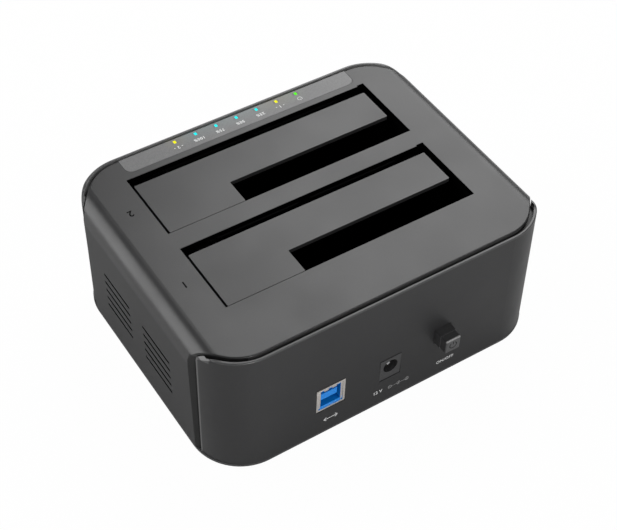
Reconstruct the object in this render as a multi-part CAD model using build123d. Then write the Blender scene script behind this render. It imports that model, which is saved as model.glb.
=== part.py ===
from build123d import *
import os
from math import atan2, cos, degrees, hypot, radians, sin

# Hard drive docking station with two bays.
# X runs along the bays, -Y is the side with the sockets, +Z is up and the feet stand on z = 0.
# Every piece is drawn about the middle of the case and moved by case_y when it is written,
# so that the origin lies under the middle of the whole object, power button included.

# Whole case: the sides lean out and the ends lean in towards the top
foot_height = 1.5
case_height = 56.8
base_length = 144.0
base_depth = 114.4
side_lean = 1.0
end_lean = 1.8
base_corner_radius = 20.0
top_corner_radius = 21.0
rim_height = 1.2
top_length = base_length + 2 * side_lean
top_depth = base_depth - 2 * end_lean
deck_z = foot_height + case_height
rim_z = foot_height + rim_height

# Small gaps between pieces, and how far a cut runs past what it cuts
fit_gap = 0.1
running_gap = 0.05
overrun = 5.0

# Top cover: deck and both sides in one inverted U
cover_wall = 2.2
side_fillet = 7.2
deck_set_back = 2.4
deck_corner_depth = 14.8
deck_corner_length = 13.1
deck_corner_radius = 17.0
deck_edge_round = 0.5
groove_width = 1.5
deck_edge = top_depth / 2 - deck_set_back
side_edge_half = deck_edge - deck_corner_depth
deck_corner_x = top_length / 2 - deck_corner_length

# Drive openings in the deck, with the deck that is left around and between them
slot_side_margin = 19.25
slot_near_share = 0.21792
slot_far_share = 0.10047
slot_between_share = 0.07972
slot_length = base_length - 2 * slot_side_margin
slot_depth = deck_edge * (1 - slot_near_share - slot_far_share - slot_between_share)
slot_between = 2 * deck_edge * slot_between_share
near_slot_y = deck_edge * (2 * slot_near_share - 1)
slot_pitch = slot_depth + slot_between
relief_length = 3.0
relief_depth = 0.6

# Vents in both sides
vent_length = 19.7
vent_height = 1.2
vent_pitch = 4.2
vent_low_z = 17.5
vent_count = 5
vent_group_y = 14.85
vent_middle_y = 0.95

# Posts under the deck for the case screws
post_side_margin = 9.5
post_end_margin = 24.2
post_x = base_length / 2 - post_side_margin
post_y = base_depth / 2 - post_end_margin
post_diameter = 7.0
post_foot_z = 6.5
post_pilot_depth = 12.0

# End panels
panel_wall = 2.2
panel_step = 0.4
panel_top_drop = 0.3
panel_edge_round = 0.4
panel_lip_depth = 3.0
panel_lip_gap = 0.5
panel_lip_groove = 3.2
tongue_wall = 1.7
tongue_reach = 4.0

# Bay flaps and their hinges
flap_thickness = 1.8
flap_drop = 0.1
flap_left_gap = 1.0
flap_right_gap = 2.8
flap_near_gap = 0.3
flap_far_gap = 4.2
notch_length = 73.35
notch_depth_share = 0.3605
notch_depth = slot_depth * notch_depth_share
notch_left_x = slot_length / 2 - notch_length
hinge_setback = 1.6
hinge_drop = 4.6
knuckle_radius = 2.1
knuckle_width = 5.0
knuckle_gap = 0.4
arm_root = 3.4
arm_rib_height = 0.8
pin_radius = 1.0
ear_width = 3.0
ear_margin = 2.3
ear_fillet = 1.9
ear_set_in = 3.75
ear_x = slot_length / 2 - ear_set_in
flap_edge_fillet = 0.3

# Flap return springs
spring_wire = 0.5
spring_radius = 1.7
spring_turns = 5
spring_pitch = 0.95
spring_leg = 4.5
wire_sides = 8

# Bay wells
well_wall = 1.8
well_gap = 0.15
well_floor_z = 19.0
hinge_clear = 9.5
well_ear_drop = 11.3
well_ear_z = deck_z - well_ear_drop
well_ear_thickness = 2.5
well_ear_radius = 3.2
well_ear_reach = 3.4

# Drive connectors
connector_from_end = 32.05
connector_x = slot_length / 2 - connector_from_end
connector_length = 43.0
connector_width = 6.4
connector_set_in = 4.5
connector_top_z = 24.3
connector_slot_depth = 5.0
connector_slot_width = 2.4
data_slot_length = 11.0
power_slot_length = 21.4
slot_spread = 3.2
contact_pitch = 1.27
contact_width = 0.8
contact_thickness = 0.4
contact_height = 3.6
data_contacts = 7
power_contacts = 15

# Light strip and its lights
strip_side_margin = 2.25
strip_depth = 7.8
strip_length = slot_length - 2 * strip_side_margin
strip_thickness = 1.2
strip_near_y = deck_edge - strip_depth
strip_corner_radius = 3.0
light_pitch = 9.0
light_count = 7
light_first_x = -27.5
light_from_edge = 1.6
light_y = deck_edge - light_from_edge
light_length = 2.4
light_depth = 1.4
light_collar = 0.4

# Base plate
plate_thickness = 2.2
locating_rib_wall = 1.6
locating_rib_top_z = 6.4
locating_side_gap = 4.5
locating_end_gap = 2.5
screw_boss_radius = 5.0
screw_recess_depth = 2.5

# Rubber feet
foot_radius = 6.0
foot_side_margin = 16.0
foot_end_margin = 17.2
foot_x = base_length / 2 - foot_side_margin
foot_y = base_depth / 2 - foot_end_margin
foot_chamfer = 0.4

# Main board
board_top_z = 14.3
board_thickness = 1.6
board_side_margin = 16.0
board_near_margin = 3.4
board_far_margin = 7.2
board_length = base_length - 2 * board_side_margin
board_near_y = board_near_margin - base_depth / 2
board_far_y = base_depth / 2 - board_far_margin
board_corner_radius = 5.0
standoff_side_inset = 8.0
standoff_near_inset = 6.8
standoff_far_inset = 6.0
standoff_x = board_length / 2 - standoff_side_inset
standoff_near_y = board_near_y + standoff_near_inset
standoff_far_y = board_far_y - standoff_far_inset
standoff_diameter = 6.0

# Parts that stand on the main board: width, depth, height
chip_size = (9.0, 9.0, 1.0)
copy_chip_size = (7.0, 7.0, 1.0)
chip_from_end = 28.0
copy_chip_from_end = 10.0
chip_x = chip_from_end - board_length / 2
copy_chip_x = copy_chip_from_end - board_length / 2
inductor_size = (6.8, 6.8, 3.2)
inductor_from_end = 20.0
inductor_inset = 16.8
inductor_pitch = 9.5
crystal_size = (5.0, 3.2, 1.2)
crystal_x = -15.0
regulator_size = (6.4, 6.0, 2.0)
regulator_from_end = 10.0
regulator_inset = 16.8
regulator_pitch = 8.5
capacitor_radius = 3.15
capacitor_height = 7.7
capacitor_from_end = 21.5
capacitor_pitch = 8.0
capacitor_inset = 7.3
capacitor_count = 2
extra_capacitor_from_end = 16.5

# Data port
port_x = -26.1
port_width = 12.1
port_height = 12.2
port_length = 18.0
port_wall = 0.9
port_throat = 8.4
port_recess = 0.5
port_back = 7.0
tongue_width = 6.8
tongue_height = 3.2
tongue_set_back = 0.8
port_contact_width = 0.7
port_contact_thickness = 0.2
port_contact_set_back = 3.2
port_contact_length = 6.4
port_contact_pitch = 1.2
port_contact_count = 4

# Power jack
jack_x = -0.35
jack_width = 9.0
jack_height = 10.9
jack_length = 14.2
jack_axis_height = 6.4
jack_bore_radius = 3.1
jack_bore_depth = 9.5
jack_pin_radius = 1.05
jack_pin_recess = 1.4
jack_leaf_width = 2.0
jack_leaf_thickness = 0.3
jack_leaf_length = 5.0

# Power button and the switch behind it
button_x = 22.6
button_z = 24.6
button_width = 7.0
button_front_width = 6.5
button_reach = 6.6
button_front_share = 0.5
button_fillet = 0.5
button_hole_gap = 0.2
button_flange_width = 9.6
button_flange_thickness = 1.5
button_flange_gap = 0.3
button_travel = 2.5
plunger_width = 3.0
plunger_gap = 0.15
plunger_depth = 3.0
switch_width = 12.4
switch_length = 13.0
switch_height = 15.2
switch_spare_travel = 0.7

# Light board, its diodes, and the copy button on the front panel
light_board_length = 68.0
light_board_inset = 5.5
light_board_drop = 7.3
light_board_height = 14.0
light_board_near_y = deck_edge - light_board_inset
light_board_top_z = deck_z - light_board_drop
light_board_low_z = light_board_top_z - light_board_height
diode_width = 3.0
diode_depth = 3.2
diode_height = 3.0
diode_drop = 1.0
diode_top_z = light_board_top_z - diode_drop
light_screw_x = 26.0
light_screw_rise = 3.2
light_screw_z = light_board_low_z + light_screw_rise
light_boss_diameter = 5.0
copy_button_drop = 9.4
copy_button_z = light_board_top_z - copy_button_drop
copy_button_radius = 4.0
copy_button_reach = 1.0
copy_button_gap = 0.1
copy_flange_radius = 5.2
copy_flange_thickness = 1.4
copy_flange_gap = 0.4
copy_travel = 0.5
copy_switch_width = 6.0
copy_switch_height = 1.5
copy_stem_radius = 1.7
copy_stem_gap = 0.7

# Flat lead between the boards and its two sockets: width, depth, height
lead_x = -15.0
lead_width = 8.0
lead_thickness = 0.8
lead_straight_share = 0.3
lead_bend_radius = 3.0
lead_low_inset = 2.0
lead_low_y = board_far_y - lead_low_inset
board_socket_size = (10.0, 4.0, 5.5)
light_socket_size = (10.0, 3.5, 4.0)

# Screws: shank radius, head radius, head height, shank length
case_screw = (1.5, 2.6, 2.0, 10.0)
board_screw = (1.2, 2.3, 1.6, 6.0)
bay_screw = (1.0, 2.0, 1.5, 7.0)
light_screw = (1.0, 2.0, 1.4, 5.5)
screw_clearance = 0.2
head_chamfer_share = 0.3
cross_width_share = 0.22
cross_length_share = 1.1
cross_depth_share = 0.6

# Places worked out from the sizes above
slot_half = slot_length / 2
slots_y = {"near": near_slot_y, "far": near_slot_y + slot_pitch}
deck_under_z = deck_z - cover_wall
flap_right_x = slot_half - flap_right_gap
hinge_z = deck_z - hinge_drop
well_top_z = deck_under_z
plate_top_z = rim_z + plate_thickness - rim_height
board_low_z = board_top_z - board_thickness
light_board_far_y = light_board_near_y + board_thickness
draft_share = (base_depth - top_depth) / 2 / case_height


def wall_y(z):
    """How far the panels' outer face lies from the middle of the case at a height."""
    return base_depth / 2 - draft_share * (z - foot_height)


button_front_y = -wall_y(button_z) - button_reach
copy_front_y = wall_y(copy_button_z) + copy_button_reach
case_y = -(button_front_y + max(base_depth / 2, copy_front_y)) / 2


def block(x0, x1, y0, y1, z0, z1):
    """A box between two corners."""
    return Pos((x0 + x1) / 2, (y0 + y1) / 2, (z0 + z1) / 2) * Box(x1 - x0, y1 - y0, z1 - z0)


def standing(size, x, y, z):
    """A box of a given size that stands on a point."""
    return Pos(x, y, z + size[2] / 2) * Box(*size)


def post(x, y, z0, z1, radius):
    """A round post between two heights."""
    return Pos(x, y, (z0 + z1) / 2) * Cylinder(radius, z1 - z0)


def bar_x(x0, x1, y, z, radius):
    """A round bar along X."""
    return Pos((x0 + x1) / 2, y, z) * Rot(0, 90, 0) * Cylinder(radius, x1 - x0)


def bar_y(x, y0, y1, z, radius):
    """A round bar along Y."""
    return Pos(x, (y0 + y1) / 2, z) * Rot(90, 0, 0) * Cylinder(radius, y1 - y0)


def slab(outline, z0, z1):
    """A flat outline given a height."""
    return extrude(Pos(0, 0, z0) * outline, z1 - z0)


def joined(solids):
    """Several separate solids as one group."""
    return Compound([solid for piece in solids for solid in piece.solids()])


# Shapes that the cover, the panels and the base plate share

def arch(inset, top_drop):
    """The inverted U of the case, drawn in at the sides and the top, and longer than the case."""
    low = base_length / 2 - inset
    high = top_length / 2 - inset
    top = deck_z - top_drop
    outline = make_face(Polyline((-low, foot_height), (low, foot_height), (high, top), (-high, top), close=True))
    upper = outline.vertices().sort_by(Axis.Y)[-2:]
    return extrude(Plane.XZ * fillet(upper, side_fillet - inset), base_depth, both=True)


def end_edges(solid, low_z):
    """The long edges round both ends of a moulding, above a height."""
    found = [edge for edge in solid.edges() if edge.center().Z > low_z]
    return [edge for edge in found if abs(edge.center().Y) > side_edge_half - overrun]


def deck_plan(grow):
    """The plan of the deck: straight long edges, drawn-in corners, open past the sides."""
    near = deck_edge
    slope = (near - side_edge_half) / (top_length / 2 - deck_corner_x)
    side_x = top_length / 2 + overrun
    side_y = side_edge_half - overrun * slope
    quarter = [(deck_corner_x, near), (side_x, side_y)]
    points = quarter + [(x, -y) for x, y in reversed(quarter)]
    points += [(-x, -y) for x, y in quarter] + [(-x, y) for x, y in reversed(quarter)]
    outline = make_face(Polyline(*points, close=True))
    corners = [v for v in outline.vertices() if abs(v.X) < side_x - overrun / 2]
    outline = fillet(corners, deck_corner_radius)
    return offset(outline, grow, kind=Kind.INTERSECTION) if grow else outline


def panel_form(side_inset, end_inset):
    """The tapered block that the end panels are cut from."""
    def ring(length, depth, radius, z):
        size = (length - 2 * side_inset, depth - 2 * end_inset)
        return Pos(0, 0, z) * RectangleRounded(*size, radius - side_inset)
    low = ring(base_length, base_depth, base_corner_radius, foot_height)
    high = ring(top_length, top_depth, top_corner_radius, deck_z)
    return loft([low, high], ruled=True)


# Top cover

def slot_cut(near_y):
    """A drive opening, with the small relief beside the flap's free end."""
    far_y = near_y + slot_depth
    low = deck_z - 2 * cover_wall
    high = deck_z + overrun
    relief = block(slot_half - relief_length, slot_half, far_y - overrun, far_y + relief_depth, low, high)
    return block(-slot_half, slot_half, near_y, far_y, low, high) + relief


def vent_cuts():
    """Two groups of flat slots through both sides."""
    cuts = []
    for group_y in (vent_middle_y - vent_group_y, vent_middle_y + vent_group_y):
        for row in range(vent_count):
            z = vent_low_z + row * vent_pitch
            cut = Pos(0, group_y, z) * Box(top_length + overrun, vent_length, vent_height)
            cuts.append(cut)
    keep = block(-post_x, post_x, -base_depth, base_depth, foot_height, deck_z)
    return [cut - keep for cut in cuts]


def hinge_ears(near_y):
    """Three ears under the deck that carry a flap pin."""
    axis_y = near_y + slot_depth + hinge_setback
    ears = []
    for x in (-ear_x, 0, ear_x):
        side = ear_margin
        ear = block(x - ear_width / 2, x + ear_width / 2, axis_y - side, axis_y + side,
                    hinge_z - side, deck_under_z + fit_gap)
        low = ear.edges().filter_by(Axis.X).group_by(Axis.Z)[0]
        ears.append(fillet(low, ear_fillet))
    return ears


def top_cover():
    body = arch(0, 0) & slab(deck_plan(0), rim_z, deck_z)
    body = fillet(end_edges(body, rim_z + rim_height), deck_edge_round)
    body -= arch(cover_wall, cover_wall)
    for near_y in slots_y.values():
        body -= slot_cut(near_y)
        for ear in hinge_ears(near_y):
            body += ear
        axis_y = near_y + slot_depth + hinge_setback
        body -= bar_x(-ear_x - ear_width, ear_x + ear_width, axis_y, hinge_z, pin_radius + running_gap)
        middle_y = near_y + slot_depth / 2
        for side in (-1, 1):
            x = side * well_ear_x()
            boss_radius = well_ear_radius
            boss = post(x, middle_y, well_ear_z + well_ear_thickness, deck_under_z + fit_gap, boss_radius)
            body += boss
            pilot = bay_screw[0] + running_gap
            body -= post(x, middle_y, well_ear_z, deck_under_z - fit_gap, pilot)
    for x in (-post_x, post_x):
        for y in (-post_y, post_y):
            body += post(x, y, post_foot_z, deck_under_z + fit_gap, post_diameter / 2)
            body -= post(x, y, post_foot_z, post_foot_z + post_pilot_depth, case_screw[0] + running_gap)
    for cut in vent_cuts():
        body -= cut
    body -= strip_blank(fit_gap)
    for x in light_places():
        body -= Pos(x, light_y, deck_z) * Box(light_length + 2 * fit_gap, light_depth + 2 * fit_gap, 2 * overrun)
    return body


# End panels

def groove_space():
    """The deck with its groove; at the sides the panel reaches closer to the cover."""
    space = slab(deck_plan(groove_width), 0, deck_z + overrun)
    lip_x = base_length / 2 - panel_lip_depth
    lip_y = side_edge_half + panel_lip_groove
    for side in (-1, 1):
        ends = sorted((side * lip_x, side * (top_length + overrun)))
        space -= block(ends[0], ends[1], -base_depth, -lip_y, 0, deck_z + 2 * overrun)
    return space + slab(deck_plan(panel_lip_gap), 0, deck_z + overrun)


def panel_edges(solid):
    """The outer edges of a panel's raised face: over its top and down both its ends."""
    groove = deck_plan(groove_width)
    edges = solid.edges().sort_by(lambda edge: abs(edge.center().X))
    found = edges[-2:]
    for edge in edges[:-2]:
        middle = edge.center()
        low = min(corner.Z for corner in edge.vertices())
        proud = groove.distance_to(Vertex(middle.X, middle.Y, 0)) > fit_gap
        if proud and low > deck_z / 2 and edge.length > groove_width:
            found.append(edge)
    return found


def end_panel():
    """The moulding that closes one end: a raised face and a tongue under the cover."""
    end = block(-top_length, top_length, -base_depth, 0, rim_z, deck_z)
    face = panel_form(panel_step, 0) & arch(panel_step, panel_top_drop) & end
    face -= groove_space()
    face = fillet(panel_edges(face), panel_edge_round)
    seat_inset = cover_wall + fit_gap
    seat = panel_form(seat_inset, 0) & arch(seat_inset, seat_inset) & end
    seat -= slab(deck_plan(-tongue_reach), 0, deck_z + overrun)
    inner_inset = seat_inset + tongue_wall
    inner = panel_form(inner_inset, panel_wall) & arch(inner_inset, inner_inset)
    return (face + seat) - inner


def rear_panel():
    body = end_panel()
    low_y = -base_depth
    high_y = board_near_y + overrun
    side = port_width / 2 + fit_gap
    body -= block(port_x - side, port_x + side, low_y, high_y,
                  board_top_z - fit_gap, board_top_z + port_height + fit_gap)
    side = jack_width / 2 + fit_gap
    body -= block(jack_x - side, jack_x + side, low_y, high_y,
                  board_top_z - fit_gap, board_top_z + jack_height + fit_gap)
    side = button_width / 2 + button_hole_gap
    body -= block(button_x - side, button_x + side, low_y, high_y, button_z - side, button_z + side)
    return body


def front_panel():
    body = mirror(end_panel(), Plane.XZ)
    side = light_places()[-1] + overrun
    body -= block(-side, side, strip_near_y, light_y + light_depth + light_collar,
                  light_board_top_z, deck_z)
    body -= bar_y(0, strip_near_y, base_depth, copy_button_z, copy_button_radius + copy_button_gap)
    for x in (-light_screw_x, light_screw_x):
        radius = light_boss_diameter / 2
        body += bar_y(x, light_board_far_y, wall_y(light_screw_z) - panel_wall / 2, light_screw_z, radius)
        depth = light_screw[3] - board_thickness + fit_gap
        pilot = light_screw[0] + running_gap
        body -= bar_y(x, light_board_far_y, light_board_far_y + depth, light_screw_z, pilot)
    return body


# Light strip and light windows

def strip_blank(grow):
    """The inlay's own space in the deck, open to the front edge."""
    half = strip_length / 2 + grow
    near = strip_near_y - grow
    far = deck_edge + grow * overrun
    outline = make_face(Polyline((-half, near), (half, near), (half, far), (-half, far), close=True))
    corners = outline.vertices().sort_by(Axis.Y)[:2]
    return slab(fillet(corners, strip_corner_radius), deck_z - strip_thickness, deck_z + grow)


def light_places():
    """Where the seven lights stand along the strip."""
    return [light_first_x + light_pitch * place for place in range(light_count)]


def light_strip():
    body = strip_blank(0)
    for x in light_places():
        body -= Pos(x, light_y, deck_z) * Box(light_length + 2 * running_gap, light_depth + 2 * running_gap, overrun)
    return body


def light_pipes(places):
    """Clear pipes from the diodes up to the strip."""
    pipes = []
    for x in places:
        stem = block(x - light_length / 2, x + light_length / 2, light_y - light_depth / 2,
                     light_y + light_depth / 2, diode_top_z + fit_gap, deck_z)
        half_x = light_length / 2 + light_collar
        half_y = light_depth / 2 + light_collar
        collar = block(x - half_x, x + half_x, light_y - half_y, light_y + half_y,
                       diode_top_z + fit_gap, deck_under_z - fit_gap)
        pipes.append(stem + collar)
    return joined(pipes)


# Bay flaps, pins and springs

def flap_arm(near_y, x0, x1):
    """A goose neck from the flap's far edge to the pin, with its knuckle."""
    far_y = near_y + slot_depth
    axis_y = far_y + hinge_setback
    under = deck_z - flap_drop - flap_thickness
    edge_y = far_y - flap_far_gap
    rib_z = under - arm_rib_height
    points = [
        (edge_y - arm_root, under + running_gap),
        (edge_y, under + flap_thickness / 2),
        (axis_y - knuckle_radius / 2, hinge_z + knuckle_radius * cos(radians(30))),
        (axis_y - knuckle_radius * cos(radians(27)), hinge_z - knuckle_radius * sin(radians(27))),
        (edge_y + arm_rib_height, rib_z),
        (edge_y - arm_root, rib_z),
    ]
    web = extrude(Plane.YZ.offset(x0) * make_face(Polyline(*points, close=True)), x1 - x0)
    arm = web + bar_x(x0, x1, axis_y, hinge_z, knuckle_radius)
    return arm - bar_x(x0 - overrun, x1 + overrun, axis_y, hinge_z, pin_radius + running_gap)


def bay_flap(near_y):
    """An L-shaped lid over one drive opening; the notch leaves a small drive's space open."""
    far_y = near_y + slot_depth
    top = deck_z - flap_drop
    low = top - flap_thickness
    plate = block(-slot_half + flap_left_gap, flap_right_x, near_y + flap_near_gap, far_y - flap_far_gap, low, top)
    notch = block(notch_left_x, slot_half, near_y - overrun, near_y + notch_depth, low - overrun, top + overrun)
    plate -= notch
    upright = plate.edges().filter_by(Axis.Z)
    plate = fillet(upright, flap_edge_fillet)
    reach = ear_x - ear_width / 2 - knuckle_gap
    plate += flap_arm(near_y, -reach, -reach + knuckle_width)
    plate += flap_arm(near_y, reach - knuckle_width, reach)
    return plate


def flap_pin(near_y):
    axis_y = near_y + slot_depth + hinge_setback
    end = ear_x + ear_width / 2
    return bar_x(-end, end, axis_y, hinge_z, pin_radius)


def flap_spring(near_y):
    """A torsion spring round the pin: one leg under the deck, one under the flap."""
    axis_y = near_y + slot_depth + hinge_setback
    start_x = -ear_x + ear_width / 2 + 2 * knuckle_gap + knuckle_width + spring_wire

    def on_coil(quarter):
        angle = radians(90 * quarter)
        return Vector(start_x + spring_pitch * quarter / 4,
                      axis_y - spring_radius * sin(angle), hinge_z + spring_radius * cos(angle))

    edges = []
    for half in range(2 * spring_turns):
        edges.append(ThreePointArc(on_coil(2 * half), on_coil(2 * half + 1), on_coil(2 * half + 2)))
    first = on_coil(0)
    last = on_coil(4 * spring_turns)
    tail = Line(first + Vector(0, spring_leg, 0), first)
    lever = Line(last, last - Vector(0, spring_leg, 0))
    path = Wire([tail.edge()] + [edge.edge() for edge in edges] + [lever.edge()])
    section = Plane(origin=path @ 0, z_dir=path % 0) * RegularPolygon(spring_wire / 2, wire_sides)
    return sweep(section, path=path)


# Bay wells

def well_ear_x():
    """Where the wells' screws stand, outside the end walls."""
    return slot_half + well_gap + well_wall + well_ear_reach


def bay_well(near_y):
    """The box that guides a drive: four walls, the far one lower so that the hinge clears it."""
    far_y = near_y + slot_depth
    x = slot_half + well_gap
    near = near_y - well_gap
    far = far_y + well_gap
    floor_low = well_floor_z - well_wall
    body = block(-x - well_wall, x + well_wall, near - well_wall, far + well_wall, floor_low, well_top_z)
    body -= block(-x, x, near, far, well_floor_z, well_top_z + overrun)
    body -= block(-x, x, far - overrun, far + overrun, deck_z - hinge_clear, well_top_z + overrun)
    half_length = connector_length / 2 + 2 * fit_gap
    half_width = connector_width / 2 + 2 * fit_gap
    middle = near_y + connector_set_in
    body -= block(connector_x - half_length, connector_x + half_length, middle - half_width,
                  middle + half_width, floor_low - overrun, well_floor_z + overrun)
    middle_y = (near_y + far_y) / 2
    for side in (-1, 1):
        screw_x = side * well_ear_x()
        wall_x = side * (x + well_wall / 2)
        ear = block(min(screw_x, wall_x), max(screw_x, wall_x), middle_y - well_ear_radius,
                    middle_y + well_ear_radius, well_ear_z, well_ear_z + well_ear_thickness)
        ear += post(screw_x, middle_y, well_ear_z, well_ear_z + well_ear_thickness, well_ear_radius)
        ear -= post(screw_x, middle_y, 0, deck_z, bay_screw[0] + screw_clearance)
        body += ear
    return body


# Drive connectors

def connector_slots():
    """The two blade slots, as (middle, length) along X."""
    power_x = connector_x - connector_length / 2 + slot_spread + power_slot_length / 2
    data_x = connector_x + connector_length / 2 - slot_spread - data_slot_length / 2
    return (power_x, power_slot_length), (data_x, data_slot_length)


def drive_connector(near_y):
    y = near_y + connector_set_in
    half = connector_length / 2
    body = block(connector_x - half, connector_x + half, y - connector_width / 2,
                 y + connector_width / 2, board_top_z, connector_top_z)
    for x, length in connector_slots():
        side = connector_slot_width / 2
        body -= block(x - length / 2, x + length / 2, y - side, y + side,
                      connector_top_z - connector_slot_depth, connector_top_z + overrun)
    upright = body.edges().filter_by(Axis.Z).group_by(Axis.X)
    return chamfer(upright[0] + upright[-1], connector_width / 8)


def connector_contacts(near_y):
    y = near_y + connector_set_in - connector_slot_width / 2
    floor = connector_top_z - connector_slot_depth
    bars = []
    for (x, length), count in zip(connector_slots(), (power_contacts, data_contacts)):
        for place in range(count):
            middle = x + (place - (count - 1) / 2) * contact_pitch
            bars.append(block(middle - contact_width / 2, middle + contact_width / 2,
                              y, y + contact_thickness, floor, floor + contact_height))
    return joined(bars)


# Base plate and feet

def screw_places():
    return [(x, y) for x in (-post_x, post_x) for y in (-post_y, post_y)]


def standoff_places():
    return [(x, y) for x in (-standoff_x, standoff_x) for y in (standoff_near_y, standoff_far_y)]


def base_plate():
    rim = RectangleRounded(base_length, base_depth, base_corner_radius)
    body = slab(rim, foot_height, rim_z)

    def inner_ring(inset):
        size = (base_length - 2 * (locating_side_gap + inset), base_depth - 2 * (locating_end_gap + inset))
        return RectangleRounded(*size, base_corner_radius - locating_side_gap - inset)
    body += slab(inner_ring(0), rim_z, locating_rib_top_z)
    body -= slab(inner_ring(locating_rib_wall), plate_top_z, deck_z)
    for x, y in screw_places():
        body += post(x, y, foot_height, post_foot_z, screw_boss_radius)
        body -= post(x, y, 0, deck_z, case_screw[0] + screw_clearance)
        body -= post(x, y, 0, foot_height + screw_recess_depth, case_screw[1] + screw_clearance)
    for x, y in standoff_places():
        body += post(x, y, rim_z, board_low_z, standoff_diameter / 2)
        body -= post(x, y, plate_top_z, board_low_z, board_screw[0] + running_gap)
    return body


def rubber_feet():
    feet = []
    for x in (-foot_x, foot_x):
        for y in (-foot_y, foot_y):
            foot = post(x, y, 0, foot_height, foot_radius)
            feet.append(chamfer(foot.edges().group_by(Axis.Z)[0], foot_chamfer))
    return joined(feet)


# Main board and what stands on it

def main_board():
    outline = Pos(0, (board_near_y + board_far_y) / 2) * RectangleRounded(
        board_length, board_far_y - board_near_y, board_corner_radius)
    body = slab(outline, board_low_z, board_top_z)
    for x, y in standoff_places():
        body -= post(x, y, 0, deck_z, board_screw[0] + screw_clearance)
    return body


def slot_middle(name):
    return slots_y[name] + slot_depth / 2


def board_capacitors():
    y = board_near_y + capacitor_inset
    places = [extra_capacitor_from_end - board_length / 2]
    for place in range(capacitor_count):
        places.append(board_length / 2 - capacitor_from_end + place * capacitor_pitch)
    return joined([post(x, y, board_top_z, board_top_z + capacitor_height, capacitor_radius) for x in places])


def board_inductors():
    x = board_length / 2 - inductor_from_end
    y = board_near_y + inductor_inset
    return joined([standing(inductor_size, x + place * inductor_pitch, y, board_top_z) for place in range(2)])


def board_regulators():
    x = regulator_from_end - board_length / 2
    y = board_near_y + regulator_inset
    return joined([standing(regulator_size, x + place * regulator_pitch, y, board_top_z) for place in range(2)])


# Data port

def port_front_y():
    return -wall_y(board_top_z + port_height / 2)


def data_port_shell():
    front = port_front_y()
    half = port_width / 2
    body = block(port_x - half, port_x + half, front, front + port_length, board_top_z, board_top_z + port_height)
    inner = half - port_wall
    body -= block(port_x - inner, port_x + inner, front - overrun, front + port_length - port_wall,
                  board_top_z + port_wall, board_top_z + port_height - port_wall)
    return body


def data_port_insulator():
    front = port_front_y() + port_recess
    back = port_front_y() + port_length - port_wall
    middle = board_top_z + port_height / 2
    half = port_width / 2 - port_wall
    tall = port_height / 2 - port_wall
    body = block(port_x - half, port_x + half, front, back, middle - tall, middle + tall)
    throat = port_throat / 2
    body -= block(port_x - throat, port_x + throat, front - overrun, back - port_back,
                  middle - throat, middle + throat)
    body += block(port_x - tongue_width / 2, port_x + tongue_width / 2, front + tongue_set_back,
                  back - port_back, middle - tongue_height / 2, middle + tongue_height / 2)
    return body


def data_port_contacts():
    front = port_front_y() + port_recess + port_contact_set_back
    middle = board_top_z + port_height / 2
    bars = []
    for side in (-1, 1):
        low = middle + side * (tongue_height / 2 + port_contact_thickness / 2)
        for place in range(port_contact_count):
            x = port_x + (place - (port_contact_count - 1) / 2) * port_contact_pitch
            bars.append(Pos(x, front + port_contact_length / 2, low)
                        * Box(port_contact_width, port_contact_length, port_contact_thickness))
    return joined(bars)


# Power jack

def jack_front_y():
    return -wall_y(board_top_z + jack_height / 2)


def power_jack_body():
    front = jack_front_y()
    half = jack_width / 2
    axis = board_top_z + jack_axis_height
    body = block(jack_x - half, jack_x + half, front, front + jack_length, board_top_z, board_top_z + jack_height)
    body -= bar_y(jack_x, front - overrun, front + jack_bore_depth, axis, jack_bore_radius)
    return body


def power_jack_pin():
    front = jack_front_y()
    axis = board_top_z + jack_axis_height
    pin = bar_y(jack_x, front + jack_pin_recess, front + jack_bore_depth, axis, jack_pin_radius)
    tip = pin.edges().group_by(Axis.Y)[0]
    return chamfer(tip, jack_pin_radius / 3)


def power_jack_contact():
    front = jack_front_y()
    low = board_top_z + jack_axis_height - jack_bore_radius
    leaf = block(jack_x - jack_leaf_width / 2, jack_x + jack_leaf_width / 2,
                 front + jack_bore_depth - jack_leaf_length, front + jack_bore_depth,
                 low, low + 2 * jack_leaf_thickness)
    return leaf & bar_y(jack_x, front, front + jack_bore_depth, board_top_z + jack_axis_height, jack_bore_radius)


# Power button and its switch

def flange_front_y():
    """The button's flange lies just behind the rear panel."""
    return -wall_y(button_z - button_flange_width / 2) + panel_wall + button_flange_gap


def switch_front_y():
    return flange_front_y() + button_flange_thickness + button_travel + switch_spare_travel


def power_button():
    front = button_front_y
    step = front + button_reach * button_front_share
    small = button_front_width / 2
    wide = button_width / 2
    cap = block(button_x - small, button_x + small, front, step, button_z - small, button_z + small)
    cap = fillet(cap.edges().filter_by(Axis.Y) + cap.edges().group_by(Axis.Y)[0], button_fillet)
    sleeve = block(button_x - wide, button_x + wide, step, flange_front_y(), button_z - wide, button_z + wide)
    sleeve = fillet(sleeve.edges().filter_by(Axis.Y), button_fillet)
    flange_half = button_flange_width / 2
    flange_back = flange_front_y() + button_flange_thickness
    flange = block(button_x - flange_half, button_x + flange_half, flange_front_y(), flange_back,
                   button_z - flange_half, button_z + flange_half)
    side = plunger_width / 2
    plunger = block(button_x - side, button_x + side, flange_back, switch_front_y() + plunger_depth,
                    button_z - side, button_z + side)
    return cap + sleeve + flange + plunger


def power_switch_body():
    front = switch_front_y()
    body = standing((switch_width, switch_length, switch_height), button_x, front + switch_length / 2, board_top_z)
    side = plunger_width / 2 + plunger_gap
    depth = plunger_depth + button_travel + switch_spare_travel
    body -= block(button_x - side, button_x + side, front - overrun, front + depth,
                  button_z - side, button_z + side)
    return body


# Light board and the copy button

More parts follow.
